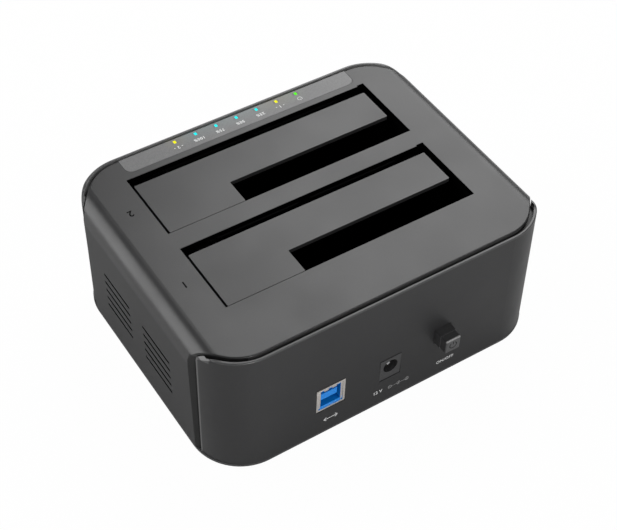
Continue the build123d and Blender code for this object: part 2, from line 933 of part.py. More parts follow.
def light_board():
    half = light_board_length / 2
    body = block(-half, half, light_board_near_y, light_board_far_y, light_board_low_z, light_board_top_z)
    for x in (-light_screw_x, light_screw_x):
        body -= bar_y(x, light_board_near_y - overrun, light_board_far_y + overrun, light_screw_z,
                      light_screw[0] + screw_clearance)
    return body


def light_diodes():
    diodes = []
    for x in light_places():
        diodes.append(block(x - diode_width / 2, x + diode_width / 2, light_board_far_y,
                            light_board_far_y + diode_depth, diode_top_z - diode_height, diode_top_z))
    return joined(diodes)


def copy_switch_face_y():
    return light_board_far_y + copy_switch_height


def copy_switch():
    side = copy_switch_width / 2
    body = block(-side, side, light_board_far_y, copy_switch_face_y(), copy_button_z - side, copy_button_z + side)
    tip = copy_flange_back_y() - copy_stem_gap
    return body + bar_y(0, light_board_far_y, tip, copy_button_z, copy_stem_radius)


def copy_flange_back_y():
    """The inner face of the copy button's flange."""
    wall = wall_y(copy_button_z + copy_flange_radius) - panel_wall
    return wall - copy_flange_gap - copy_flange_thickness


def copy_button():
    low = copy_flange_back_y()
    cap = bar_y(0, low, copy_front_y, copy_button_z, copy_button_radius)
    cap = chamfer(cap.edges().group_by(Axis.Y)[-1], copy_button_reach / 3)
    return cap + bar_y(0, low, low + copy_flange_thickness, copy_button_z, copy_flange_radius)


# Flat lead and its sockets

def board_socket():
    return standing(board_socket_size, lead_x, lead_low_y, board_top_z)


def light_socket():
    size = light_socket_size
    middle_y = light_board_far_y + size[1] / 2
    return standing(size, lead_x, middle_y, light_board_low_z)


def board_lead():
    """A flat lead that rises from one socket and steps over to the other."""
    low = board_top_z + board_socket_size[2]
    high = light_board_low_z
    high_y = light_board_far_y + light_socket_size[1] / 2
    straight = (high - low) * lead_straight_share
    path = FilletPolyline((lead_x, lead_low_y, low), (lead_x, lead_low_y, low + straight),
                          (lead_x, high_y, high - straight), (lead_x, high_y, high), radius=lead_bend_radius)
    section = Plane(origin=path @ 0, z_dir=path % 0, x_dir=(1, 0, 0)) * Rectangle(lead_width, lead_thickness)
    return sweep(section, path=path)


# Screws

def screw(sizes):
    """A pan head screw that points up, its head's seat at the origin."""
    shank_radius, head_radius, head_height, length = sizes
    head = Pos(0, 0, -head_height / 2) * Cylinder(head_radius, head_height)
    head = chamfer(head.edges().group_by(Axis.Z)[0], head_height * head_chamfer_share)
    cross = Rectangle(head_radius * cross_length_share, head_radius * cross_width_share)
    for turn in (0, 90):
        cut = extrude(Pos(0, 0, -head_height) * Rot(0, 0, turn) * cross, head_height * cross_depth_share)
        head -= cut
    return head + Pos(0, 0, length / 2) * Cylinder(shank_radius, length)


def placed_screws(sizes, places, turn):
    one = turn * screw(sizes)
    return joined([Pos(*place) * one for place in places])


def case_screws():
    z = foot_height + screw_recess_depth
    return placed_screws(case_screw, [(x, y, z) for x, y in screw_places()], Rot(0, 0, 0))


def board_screws():
    places = [(x, y, board_top_z) for x, y in standoff_places()]
    return placed_screws(board_screw, places, Rot(180, 0, 0))


def bay_screws():
    places = [(side * well_ear_x(), slot_middle(name), well_ear_z) for side in (-1, 1) for name in slots_y]
    return placed_screws(bay_screw, places, Rot(0, 0, 0))


def light_board_screws():
    places = [(x, light_board_near_y, light_screw_z) for x in (-light_screw_x, light_screw_x)]
    return placed_screws(light_screw, places, Rot(-90, 0, 0))


# All pieces by name

def pieces():
    lights = light_places()
    made = {
        "top_cover": top_cover(),
        "rear_panel": rear_panel(),
        "front_panel": front_panel(),
        "base_plate": base_plate(),
        "rubber_feet": rubber_feet(),
        "light_strip": light_strip(),
        "activity_lights": light_pipes([lights[0], lights[5]]),
        "progress_lights": light_pipes(lights[1:5]),
        "power_light": light_pipes(lights[6:]),
        "main_board": main_board(),
        "bridge_chip": standing(chip_size, chip_x, slot_middle("near"), board_top_z),
        "copy_chip": standing(copy_chip_size, copy_chip_x, slot_middle("far"), board_top_z),
        "board_crystal": standing(crystal_size, crystal_x, slot_middle("near"), board_top_z),
        "board_capacitors": board_capacitors(),
        "board_inductors": board_inductors(),
        "board_regulators": board_regulators(),
        "data_port_shell": data_port_shell(),
        "data_port_insulator": data_port_insulator(),
        "data_port_contacts": data_port_contacts(),
        "power_jack_body": power_jack_body(),
        "power_jack_pin": power_jack_pin(),
        "power_jack_contact": power_jack_contact(),
        "power_switch_body": power_switch_body(),
        "power_button": power_button(),
        "light_board": light_board(),
        "light_diodes": light_diodes(),
        "copy_switch": copy_switch(),
        "copy_button": copy_button(),
        "board_socket": board_socket(),
        "light_socket": light_socket(),
        "board_lead": board_lead(),
        "case_screws": case_screws(),
        "board_screws": board_screws(),
        "bay_screws": bay_screws(),
        "light_board_screws": light_board_screws(),
    }
    for name, near_y in slots_y.items():
        made[name + "_bay_flap"] = bay_flap(near_y)
        made[name + "_flap_pin"] = flap_pin(near_y)
        made[name + "_flap_spring"] = flap_spring(near_y)
        made[name + "_bay_well"] = bay_well(near_y)
        made[name + "_drive_connector"] = drive_connector(near_y)
        made[name + "_connector_contacts"] = connector_contacts(near_y)
    return made


os.makedirs("parts", exist_ok=True)
for node, shape in pieces().items():
    export_step(Pos(0, case_y, 0) * shape, f"parts/{node}.step")
print("case_y", round(case_y, 3), "spring gap", round(spring_pitch - spring_wire, 3))
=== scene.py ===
import math

import bpy
from mathutils import Matrix, Vector


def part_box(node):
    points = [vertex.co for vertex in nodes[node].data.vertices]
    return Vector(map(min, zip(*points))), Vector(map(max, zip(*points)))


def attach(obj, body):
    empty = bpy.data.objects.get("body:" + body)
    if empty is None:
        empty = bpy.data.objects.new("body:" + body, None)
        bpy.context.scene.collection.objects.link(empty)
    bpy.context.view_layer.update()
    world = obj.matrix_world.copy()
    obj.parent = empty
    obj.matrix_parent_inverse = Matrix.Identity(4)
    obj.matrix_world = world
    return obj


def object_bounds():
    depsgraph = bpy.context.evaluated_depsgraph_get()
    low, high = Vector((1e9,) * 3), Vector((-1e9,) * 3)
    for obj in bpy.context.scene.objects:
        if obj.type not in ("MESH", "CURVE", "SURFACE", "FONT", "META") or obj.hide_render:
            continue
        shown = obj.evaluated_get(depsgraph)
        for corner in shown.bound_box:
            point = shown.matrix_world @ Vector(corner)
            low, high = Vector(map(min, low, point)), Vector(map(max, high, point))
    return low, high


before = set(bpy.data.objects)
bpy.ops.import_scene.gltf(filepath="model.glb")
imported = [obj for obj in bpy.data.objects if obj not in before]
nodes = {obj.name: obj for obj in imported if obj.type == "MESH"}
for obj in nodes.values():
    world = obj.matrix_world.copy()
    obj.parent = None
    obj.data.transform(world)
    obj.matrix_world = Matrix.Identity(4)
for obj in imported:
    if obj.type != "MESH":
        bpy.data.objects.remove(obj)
cad_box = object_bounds()
bpy.ops.object.select_all(action="DESELECT")

# Base plate: a flat tray moulded in black plastic that closes the dock from below.
# Its rim shows as a thin band under the panels, and its grain is coarser than the cover's.

MM = 0.001
BLOTCHES_PER_METRE = 45.0
# A pit's depth in grain widths, and the noise values at which the effects start and end.
PIT_DEPTH = 0.25
DRIFT = (0.3, 0.7)
PIT, RIDGE = 0.35, 0.65


def fill(tree, socket, value):
    """Links a socket to another node's result, or sets it to a plain value."""
    if isinstance(value, bpy.types.NodeSocket):
        tree.links.new(value, socket)
    else:
        socket.default_value = value


def ranged(tree, value, low, high, to_low=0.0, to_high=1.0):
    """Where a value lies between two limits, kept inside them and carried over to two others."""
    span = tree.nodes.new("ShaderNodeMapRange")
    fill(tree, span.inputs["Value"], value)
    for name, limit in (("From Min", low), ("From Max", high), ("To Min", to_low), ("To Max", to_high)):
        span.inputs[name].default_value = limit
    return span.outputs["Result"]


def moulded(name, colour, rough, grain=0.30, relief=0.2, spread=0.08, shine=0.5, tint=1.25):
    """Moulded plastic: a fine spark-eroded grain, and slightly uneven gloss and colour.

    The grain's pits measure so many mm, and relief is the strength of their bump. The roughness
    drifts over the piece by spread, and the raised grain is paler by tint.
    """
    made = bpy.data.materials.new(name)
    made.use_nodes = True
    tree = made.node_tree
    link = tree.links.new
    shader = tree.nodes["Principled BSDF"]
    shader.inputs["Specular IOR Level"].default_value = shine
    place = tree.nodes.new("ShaderNodeTexCoord")
    place.name = "place"
    pits = tree.nodes.new("ShaderNodeTexNoise")
    pits.name = "pits"
    pits.inputs["Scale"].default_value = 1 / (grain * MM)
    pits.inputs["Detail"].default_value = 2.0
    bump = tree.nodes.new("ShaderNodeBump")
    bump.name = "bump"
    bump.inputs["Strength"].default_value = relief
    bump.inputs["Distance"].default_value = grain * MM * PIT_DEPTH
    drift = tree.nodes.new("ShaderNodeTexNoise")
    drift.inputs["Scale"].default_value = BLOTCHES_PER_METRE
    drift.inputs["Detail"].default_value = 3.0
    gloss = ranged(tree, drift.outputs["Fac"], *DRIFT, rough - spread / 2, rough + spread / 2)
    ramp = tree.nodes.new("ShaderNodeValToRGB")
    ramp.name = "ramp"
    pit, ridge = ramp.color_ramp.elements
    pit.position = PIT
    pit.color = (*colour, 1)
    ridge.position = RIDGE
    ridge.color = (*[min(1, share * tint) for share in colour], 1)
    link(place.outputs["Object"], pits.inputs["Vector"])
    link(place.outputs["Object"], drift.inputs["Vector"])
    link(pits.outputs["Fac"], bump.inputs["Height"])
    link(pits.outputs["Fac"], ramp.inputs["Fac"])
    link(bump.outputs["Normal"], shader.inputs["Normal"])
    link(gloss, shader.inputs["Roughness"])
    link(ramp.outputs["Color"], shader.inputs["Base Color"])
    return made


def dress(material, *names):
    """Puts a finish on CAD pieces."""
    for name in names:
        slots = nodes[name].data.materials
        slots.clear()
        slots.append(material)


dress(moulded("base_grain", (0.030, 0.030, 0.031), 0.55, grain=0.6, relief=0.48), "base_plate")

# Rubber feet: four moulded pads pressed on to the base plate.
# Matt black rubber with a dusty bloom that scatters light evenly.

dress(moulded("foot_rubber", (0.022, 0.022, 0.022), 0.85, grain=0.2, relief=0.8, shine=0.3), "rubber_feet")

# Screws that close the case, and the smaller ones inside: all have cross heads.
# Blackened zinc on rolled steel, so they have a dull metal gleam.


def metal(name, colour, rough, grain=0.12, stretch=(1, 1, 1)):
    """Metal with the fine lines left by drawing or plating, stretched along the way it was drawn."""
    made = moulded(name, colour, rough, grain=grain, relief=0.12, spread=0.12, tint=1.12)
    tree = made.node_tree
    tree.nodes["Principled BSDF"].inputs["Metallic"].default_value = 1.0
    turn = tree.nodes.new("ShaderNodeMapping")
    turn.inputs["Scale"].default_value = stretch
    tree.links.new(tree.nodes["place"].outputs["Object"], turn.inputs["Vector"])
    tree.links.new(turn.outputs["Vector"], tree.nodes["pits"].inputs["Vector"])
    return made


dress(metal("black_zinc", (0.16, 0.16, 0.17), 0.42), "case_screws", "board_screws", "bay_screws",
      "light_board_screws")

# Main board and light board: glass-fibre boards under green solder mask.
# The woven glass shows faintly through the mask.

WEAVES_PER_METRE = 260.0


def board_mask():
    """Green solder mask over a woven glass laminate."""
    made = moulded("solder_mask", (0.006, 0.046, 0.020), 0.28, grain=0.5, relief=0.08, tint=1.5)
    tree = made.node_tree
    weave = tree.nodes.new("ShaderNodeTexVoronoi")
    weave.inputs["Scale"].default_value = WEAVES_PER_METRE
    tree.links.new(tree.nodes["place"].outputs["Object"], weave.inputs["Vector"])
    tree.links.new(weave.outputs["Distance"], tree.nodes["ramp"].inputs["Fac"])
    tree.nodes["Principled BSDF"].inputs["Coat Weight"].default_value = 0.4
    return made


dress(board_mask(), "main_board", "light_board")

# Parts soldered to the main board: packages, chokes, cans and a crystal.
# Black epoxy, dark ferrite and drawn aluminium.

dress(moulded("chip_epoxy", (0.022, 0.022, 0.024), 0.5, grain=0.15, relief=0.4), "bridge_chip", "copy_chip",
      "board_regulators")
dress(moulded("ferrite", (0.05, 0.05, 0.052), 0.6, grain=0.2, relief=0.8), "board_inductors")
dress(metal("drawn_can", (0.72, 0.72, 0.74), 0.3, stretch=(1, 1, 0.05)), "board_capacitors", "board_crystal")

# Sockets and the flat lead between the two boards.
# Natural nylon sockets and a grey ribbon with a rib for each core.

RIBS_PER_METRE = 160.0
RIB_HEIGHT = 0.15

dress(moulded("nylon", (0.62, 0.57, 0.45), 0.45, tint=1.1), "board_socket", "light_socket")


def ribbon():
    """Grey flat lead: a fine rib over each core."""
    made = moulded("ribbon_lead", (0.18, 0.18, 0.19), 0.5, tint=1.15)
    tree = made.node_tree
    bump = tree.nodes["bump"]
    bump.inputs["Distance"].default_value = RIB_HEIGHT * MM
    ribs = tree.nodes.new("ShaderNodeTexWave")
    ribs.bands_direction = "X"
    ribs.inputs["Scale"].default_value = RIBS_PER_METRE
    tree.links.new(tree.nodes["place"].outputs["Object"], ribs.inputs["Vector"])
    tree.links.new(ribs.outputs["Fac"], bump.inputs["Height"])
    return made


dress(ribbon(), "board_lead")

# Data port: a folded shell of plated steel around a blue insulator.
# Gold plated contacts lie on the tongue in the middle of the mouth.

dress(metal("nickel_plate", (0.82, 0.78, 0.74), 0.26, grain=0.2), "data_port_shell")
dress(moulded("blue_insulator", (0.002, 0.175, 0.56), 0.30, grain=0.2, relief=0.12, tint=1.2),
      "data_port_insulator")
gold = metal("gold_plate", (0.83, 0.60, 0.24), 0.25)
dress(gold, "data_port_contacts", "power_jack_contact", "near_connector_contacts", "far_connector_contacts")

# Data port springs: thin folds of the shell that hold a plug, one down each side of the mouth
# and two short tabs at its top. They are cut and bent from the same plated sheet.

SHEET = 0.22
FOLD_INSET = 0.3
FOLD_FOOT = 0.1
FOOT_WIDTH = 0.7
BROKEN_EDGE = 0.06
# In mm: each fold's middle from the shell's middle, along x and z, then its width, height and curl.
FOLDS = (
    (-4.66, 0, 0.9, 9.6, 0.1),
    (4.66, 0, 0.9, 9.6, 0.1),
    (-1.9, 4.45, 1.9, 1.3, 0.12),
    (1.5, 4.45, 1.9, 1.3, 0.12),
)
port_low, port_high = [Vector(corner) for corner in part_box("data_port_shell")]
port_middle = (port_low + port_high) / 2
nickel_bright = metal("nickel_fold", (0.84, 0.80, 0.76), 0.22, grain=0.2)


def fold(middle, size, curl):
    """A small tab of sheet whose lower end narrows and curls inwards; its edges are broken."""
    bpy.ops.object.select_all(action="DESELECT")
    bpy.ops.mesh.primitive_cube_add(size=1, location=middle)
    piece = bpy.context.object
    piece.scale = size
    bpy.ops.object.transform_apply(location=False, rotation=False, scale=True)
    bpy.ops.object.mode_set(mode="EDIT")
    bpy.ops.mesh.select_all(action="SELECT")
    bpy.ops.mesh.subdivide(number_cuts=2)
    bpy.ops.mesh.select_all(action="DESELECT")
    bpy.ops.object.mode_set(mode="OBJECT")
    low = min(corner.co.z for corner in piece.data.vertices)
    for corner in piece.data.vertices:
        corner.select = corner.co.z < low + size[2] * FOLD_FOOT
    bpy.ops.object.mode_set(mode="EDIT")
    bpy.ops.transform.translate(value=(0, curl, 0))
    bpy.ops.transform.resize(value=(FOOT_WIDTH, 1, 1))
    bpy.ops.object.mode_set(mode="OBJECT")
    edge = piece.modifiers.new("broken_edge", "BEVEL")
    edge.width = BROKEN_EDGE * MM
    edge.segments = 2
    edge.limit_method = "ANGLE"
    bpy.ops.object.modifier_apply(modifier=edge.name)
    bpy.ops.object.transform_apply(location=True, rotation=True, scale=True)
    return piece


def joined(parts):
    """Several parts as one mesh, left selected."""
    bpy.ops.object.select_all(action="DESELECT")
    for part in parts:
        part.select_set(True)
    bpy.context.view_layer.objects.active = parts[0]
    if len(parts) > 1:
        bpy.ops.object.join()
    return bpy.context.object


def one_piece(name, parts, material, body):
    """Joins parts into one named piece with one finish and lets it ride on a body."""
    piece = joined(parts)
    bpy.ops.object.transform_apply(location=True, rotation=True, scale=True)
    piece.name = name
    piece.data.name = name
    piece.data.materials.clear()
    piece.data.materials.append(material)
    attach(piece, body)
    return piece


folds = []
for across, up, width, height, curl in FOLDS:
    at = Vector((port_middle.x + across * MM, port_low.y + FOLD_INSET * MM, port_middle.z + up * MM))
    folds.append(fold(at, Vector((width, SHEET, height)) * MM, curl * MM))
one_piece("data_port_springs", folds, nickel_bright, "case")

# Power jack: a black block with a round mouth, and the plated pin in its middle.
# The block is glass-filled nylon, the pin is turned and polished.

dress(moulded("jack_nylon", (0.023, 0.023, 0.024), 0.42, grain=0.2), "power_jack_body")
dress(metal("polished_pin", (0.80, 0.80, 0.81), 0.16), "power_jack_pin")

# Power switch and the small switch of the copy button.
# Plain dark housings that never show with the case closed.

dress(moulded("switch_case", (0.045, 0.045, 0.05), 0.5), "power_switch_body", "copy_switch")

# Power button and copy button: satin black caps that stand out of the panels.
# Their edges are rounded in the mould, and the power button's upper front edge has a painted highlight: a
# short pale, glossy band.

# The middle of the case along y, in metres: the power button stands out and sets it off the origin.
case_y = (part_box("base_plate")[0][1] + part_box("base_plate")[1][1]) / 2
# Near-black painted shade for the depth of bays, vents and gaps.
PAINTED_SHADE_BLACK = (0.0008, 0.0008, 0.0008)
LOOKS_IN = -20.0
VECTORS = "ShaderNodeVectorMath"


def worked(tree, operation, *values, node="ShaderNodeMath"):
    """One step of arithmetic on results and plain values."""
    step = tree.nodes.new(node)
    step.operation = operation
    for socket, value in zip(step.inputs, values):
        fill(tree, socket, value)
    return step.outputs["Vector" if node == VECTORS and operation != "DOT_PRODUCT" else "Value"]


def apart(tree, vector):
    """The x, y and z of a vector."""
    split = tree.nodes.new("ShaderNodeSeparateXYZ")
    tree.links.new(vector, split.inputs["Vector"])
    return split.outputs


def blended(tree, share, start, end, kind="FLOAT"):
    """A blend from one value or colour to another."""
    blend = tree.nodes.new("ShaderNodeMix")
    blend.data_type = kind
    for name, value in (("Factor", share), ("A", start), ("B", end)):
        fill(tree, blend.inputs[name], value)
    return blend.outputs["Result"]


def held(socket):
    """What a socket holds: the result that is linked to it, or else its own value."""
    return socket.links[0].from_socket if socket.is_linked else socket.default_value


def patch(material, low, high, colour=PAINTED_SHADE_BLACK, rough=1.0, shine=0.0, inward=False):
    """Paints another colour and gloss inside a box, whose corners are in mm from the middle of the case.

    By default it paints near-black shade, as in the depth of a bay; a given colour paints paler light or
    darker shade instead. With inward it keeps to the faces that look towards the middle of the case.
    """
    tree = material.node_tree
    shader = tree.nodes["Principled BSDF"]
    place = tree.nodes["place"].outputs["Object"]
    foot = Vector((0, case_y, 0))
    middle = (Vector(low) + Vector(high)) / 2 * MM + foot
    half = (Vector(high) - Vector(low)) / 2 * MM
    away = worked(tree, "ABSOLUTE", worked(tree, "SUBTRACT", place, middle, node=VECTORS), node=VECTORS)
    past_x, past_y, past_z = apart(tree, worked(tree, "SUBTRACT", away, half, node=VECTORS))
    farthest = worked(tree, "MAXIMUM", worked(tree, "MAXIMUM", past_x, past_y), past_z)
    inside = worked(tree, "LESS_THAN", farthest, 0.0)
    if inward:
        face = tree.nodes.new("ShaderNodeNewGeometry")
        outward = worked(tree, "SUBTRACT", place, foot + Vector((0, 0, middle.z)), node=VECTORS)
        lean = worked(tree, "DOT_PRODUCT", outward, face.outputs["Normal"], node=VECTORS)
        inside = worked(tree, "MULTIPLY", inside, worked(tree, "LESS_THAN", lean, LOOKS_IN * MM))
    finish = (("Base Color", (*colour, 1), "RGBA"), ("Roughness", rough, "FLOAT"),
              ("Specular IOR Level", shine, "FLOAT"))
    for name, value, kind in finish:
        socket = shader.inputs[name]
        fill(tree, socket, blended(tree, inside, held(socket), value, kind))


button_black = moulded("button_black", (0.038, 0.038, 0.039), 0.36, grain=0.2, relief=0.12)
# Painted highlight: a pale, glossy band along the power button's upper front edge.
patch(button_black, (18.9, -63.2, 27.3), (26.3, -62.5, 28.0), (0.20, 0.20, 0.20), 0.28, 0.8)
dress(button_black, "power_button", "copy_button")

# Power symbol on the button: an open ring with a short bar, sunk a hair and filled with black.
# Stamped on the moving cap, so it goes in with it.

FILM = 0.03
FILM_EDGE = FILM / 6
WELD = FILM / 20
CAPITALS = 0.73
RING_STEPS = 28
UP = (0, 0, 1)
IN = (0, 1, 0)
# Where the rays that find a print's place start: far behind the dock, in metres.
BEHIND = -0.2


def ink(name, colour, rough):
    """Pad-printed ink: a dense even film with a slightly ragged gloss."""
    return moulded(name, colour, rough, grain=0.12, relief=0.08, spread=0.1, tint=1.08)


def ring(radius, width, sweep=360.0, opening=90.0, across=0.0):
    """A flat ring spun from one small rectangle.

    With less than a full sweep it has a gap, whose middle is at the angle of opening.
    """
    bpy.ops.object.select_all(action="DESELECT")
    bpy.ops.mesh.primitive_plane_add(size=1)
    piece = bpy.context.object
    piece.scale = (width * MM, FILM * MM, 1)
    piece.rotation_euler = (math.radians(90), 0, 0)
    piece.location = (radius * MM, 0, 0)
    bpy.ops.object.transform_apply(location=True, rotation=True, scale=True)
    bpy.ops.object.mode_set(mode="EDIT")
    bpy.ops.mesh.select_all(action="SELECT")
    bpy.ops.mesh.delete(type="ONLY_FACE")
    bpy.ops.mesh.select_all(action="SELECT")
    bpy.ops.mesh.spin(steps=RING_STEPS, angle=math.radians(sweep), center=(0, 0, 0), axis=(0, 0, 1))
    bpy.ops.mesh.select_all(action="SELECT")
    bpy.ops.mesh.remove_doubles(threshold=WELD * MM)
    bpy.ops.mesh.fill_holes(sides=4)
    bpy.ops.mesh.normals_make_consistent(inside=False)
    bpy.ops.object.mode_set(mode="OBJECT")
    if sweep < 360:
        heavy = sum((corner.co for corner in piece.data.vertices), Vector())
        piece.rotation_euler = (0, 0, math.radians(opening + 180) - math.atan2(heavy.y, heavy.x))
        bpy.ops.object.transform_apply(location=True, rotation=True, scale=True)
    piece.location = (across * MM, 0, 0)
    return piece


def stroke(length, width, across=0.0, up=0.0, turn=0.0):
    """A short straight stroke with softened ends, turned about its own middle."""
    bpy.ops.object.select_all(action="DESELECT")
    bpy.ops.mesh.primitive_cube_add(size=1)
    piece = bpy.context.object
    piece.scale = (length * MM, width * MM, FILM * MM)
    bpy.ops.object.transform_apply(location=False, rotation=False, scale=True)
    bpy.ops.object.mode_set(mode="EDIT")
    bpy.ops.mesh.select_all(action="SELECT")
    bpy.ops.mesh.bevel(offset=FILM_EDGE * MM, segments=1, affect="EDGES")
    bpy.ops.object.mode_set(mode="OBJECT")
    piece.rotation_euler = (0, 0, math.radians(turn))
    piece.location = (across * MM, up * MM, 0)
    bpy.ops.object.transform_apply(location=True, rotation=True, scale=True)
    return piece


def lettering(words, height, bold=0.02, spread=1.0):
    """Plain letters or numbers in raised ink, centred on the origin, their capitals so many mm high."""
    bpy.ops.object.select_all(action="DESELECT")
    bpy.ops.object.text_add(location=(0, 0, 0))
    piece = bpy.context.object
    piece.data.body = words
    piece.data.align_x = "CENTER"
    piece.data.align_y = "CENTER"
    piece.data.extrude = 0.5
    piece.data.offset = bold
    piece.data.space_character = spread
    piece.data.resolution_u = 4
    bpy.ops.object.convert(target="MESH")
    piece = bpy.context.object
    bpy.ops.object.mode_set(mode="EDIT")
    bpy.ops.mesh.select_all(action="SELECT")
    bpy.ops.mesh.remove_doubles(threshold=0.0001)
    bpy.ops.mesh.normals_make_consistent(inside=False)
    bpy.ops.object.mode_set(mode="OBJECT")
    size = height * MM / CAPITALS
    piece.scale = (size, size, FILM * MM)
    bpy.ops.object.transform_apply(location=True, rotation=True, scale=True)
    return piece


def printed(name, parts, on, start, aim, top, material, body="case"):
    """Lays a print, drawn flat about the origin, on the face of a piece met from start along aim."""
    _, place, outside, _ = nodes[on].ray_cast(Vector(start), Vector(aim))
    out = outside.normalized()
    side = Vector(top).cross(out).normalized()
    high = out.cross(side)
    piece = joined(parts)
    piece.matrix_world = Matrix((
        (side.x, high.x, out.x, place.x),
        (side.y, high.y, out.y, place.y),
        (side.z, high.z, out.z, place.z),
        (0, 0, 0, 1),
    ))
    return one_piece(name, [piece], material, body)


def power_sign(size):
    """The usual power symbol: a ring open at the top and a bar in the opening."""
    line = size * 0.2
    return [ring(size, line, sweep=290), stroke(size, line, up=size * 0.75, turn=90)]


black_fill = ink("black_fill", (0.001, 0.001, 0.001), 0.9)
black_fill.node_tree.nodes["Principled BSDF"].inputs["Specular IOR Level"].default_value = 0.1
button_at = Vector((22.6 * MM, BEHIND, 24.6 * MM))
printed("power_button_sign", power_sign(1.5), "power_button", button_at, IN, UP, black_fill, "power_button")

# Drive connectors: black housings at the bottom of each bay, with gold contacts in their slots.
# Glass-filled plastic with a dry surface.

dress(moulded("connector_black", (0.020, 0.020, 0.022), 0.5, grain=0.2), "near_drive_connector",
      "far_drive_connector")

# Bay wells: deep black boxes that guide a drive on to its connector.
# Near-black and without gloss: painted shade in the depth of the bays.

dress(moulded("well_painted_shade", (0.001, 0.001, 0.001), 0.9, shine=0.02), "near_bay_well", "far_bay_well")

# Flap springs and pins: a torsion spring of hard-drawn wire round each hinge pin.
# Both are steel painted nearly black as shade, so nothing gleams in the gap behind a lid.

dress(metal("steel_painted_shade", (0.012, 0.012, 0.013), 0.6), "near_flap_spring", "far_flap_spring",
      "near_flap_pin", "far_flap_pin")

# Bay flaps: L-shaped lids that lie flush in the deck and swing down under a drive.
# The same satin plastic as the deck; the hinge arms behind each lid and its underside are painted near-black
# and rough, as shade.

DECK = (0.020, 0.020, 0.0205)
DECK_GLOSS = 0.34
DECK_SHINE = 0.42
LID_UNDERSIDE_Z = 56.3

flap_black = moulded("flap_black", DECK, DECK_GLOSS, grain=0.28, relief=0.12, shine=DECK_SHINE)
# Painted shade: the hinge arms behind each lid go near-black and rough.
for lid_edge_y, arm_end_y in ((-2.17, 8.0), (38.18, 50.0)):
    patch(flap_black, (-80, lid_edge_y, 0), (80, arm_end_y, 70))
# Painted shade: the lids' undersides go near-black and rough.
patch(flap_black, (-80, -60, 0), (80, 60, LID_UNDERSIDE_Z))
dress(flap_black, "near_bay_flap", "far_bay_flap")

# Rear and front panels: two mouldings that wrap the ends of the dock and its corners.
# Satin black, a shade darker than the deck, with painted highlights in a paler colour where light would
# catch their edges: along the top, on the walls of the groove, and at the rear panel's rounded shoulders and
# upright ends.

GROOVE_WALL_PAINTED_LIGHT = (0.30, 0.30, 0.30)
SHOULDER_HIGHLIGHT = (0.045, 0.045, 0.046)
UPRIGHT_END_HIGHLIGHT = (0.075, 0.075, 0.075)
FOOT_Z = 1.5
SHOULDER_Z = 56.0

panel_black = moulded("panel_black", (0.016, 0.016, 0.0165), 0.42, grain=0.28, relief=0.12, shine=0.3)
# Painted highlight: a paler band along the panels' top edges.
patch(panel_black, (-80, -60, 57.5), (80, 60, 58.5), SHOULDER_HIGHLIGHT, 0.34, 0.5)
# Painted light: the groove walls that face inwards, which lie in shade, are painted pale grey.
for low, high in (((-80, 30, 52), (80, 60, 58.2)), ((62, -60, 52), (80, -30, 58.2))):
    patch(panel_black, low, high, GROOVE_WALL_PAINTED_LIGHT, 0.5, 0.5, inward=True)
# Painted highlights on the rear panel's rounded shoulders and upright ends.
for side in (-1, 1):
    low_x, high_x = sorted((side * 71.3, side * 68.5))
    patch(panel_black, (low_x, -46.4, SHOULDER_Z), (high_x, -42.0, 57.5), SHOULDER_HIGHLIGHT, 0.34, 0.6)
    low_x, high_x = sorted((side * 71.8, side * 70.95))
    patch(panel_black, (low_x, -42.45, FOOT_Z), (high_x, -41.8, SHOULDER_Z), UPRIGHT_END_HIGHLIGHT, 0.4, 0.4)
dress(panel_black, "rear_panel", "front_panel")

# Prints under the sockets: pale grey ink on the rear panel.
# A two-way arrow for the data port, the supply's voltage and polarity for the jack, and ON and OFF
# for the button.

PRINT_Z = 8.4
# A stroke of an arrow's head: its middle's place in head lengths, back from the tip and up, and its turn.
HEAD_BACK, HEAD_UP, HEAD_TURN = 0.38, 0.3, 38
pale_ink = ink("pale_ink", (0.52, 0.52, 0.52), 0.55)
grey_ink = ink("grey_ink", (0.24, 0.24, 0.24), 0.55)


def two_way_arrow(length, width, head):
    """A thin arrow with a head at both ends: data in and out."""
    parts = [stroke(length, width)]
    for side in (-1, 1):
        for lean in (-1, 1):
            along = side * (length / 2 - head * HEAD_BACK)
            turn = -side * lean * HEAD_TURN
            parts.append(stroke(head, width, across=along, up=lean * head * HEAD_UP, turn=turn))
    return parts


def on_panel(name, parts, x, z, material):
    """Lays a print on the rear panel, at so many mm across and up."""
    return printed(name, parts, "rear_panel", (x * MM, BEHIND, z * MM), IN, UP, material)


on_panel("port_arrow", two_way_arrow(6.0, 0.32, 1.5), -26.0, PRINT_Z, pale_ink)
on_panel("jack_voltage", [lettering("12 V", 1.6)], -5.4, PRINT_Z + 0.2, pale_ink)
polarity = [
    ring(0.72, 0.2),
    stroke(0.7, 0.18),
    stroke(1.9, 0.16, across=1.85),
    ring(0.8, 0.2, sweep=250, opening=0, across=3.95),
    stroke(0.5, 0.5, across=3.95),
    stroke(2.6, 0.16, across=5.5),
    ring(0.72, 0.2, across=7.6),
    stroke(0.7, 0.18, across=7.6),
    stroke(0.7, 0.18, across=7.6, turn=90),
]
on_panel("jack_polarity", polarity, 0.1, PRINT_Z, grey_ink)
on_panel("switch_words", [lettering("ON/OFF", 1.5, bold=0.01, spread=1.1)], 25.2, PRINT_Z - 0.15, pale_ink)

# Light diodes: small milky resin blocks behind the light windows.
# A plain milky finish without a glow of their own; the light pipes above carry the glow.

dress(moulded("diode_resin", (0.75, 0.75, 0.70), 0.4, tint=1.05), "light_diodes")

# Top cover: deck and both sides in one moulding.
# Satin black with a fine grain; the rounded long edges take a broad soft highlight and the side walls are
# duller. Painted shade makes the vents and the openings' walls near-black and the cover's ends at the
# grooves darker; painted light makes the step of the rear groove paler.

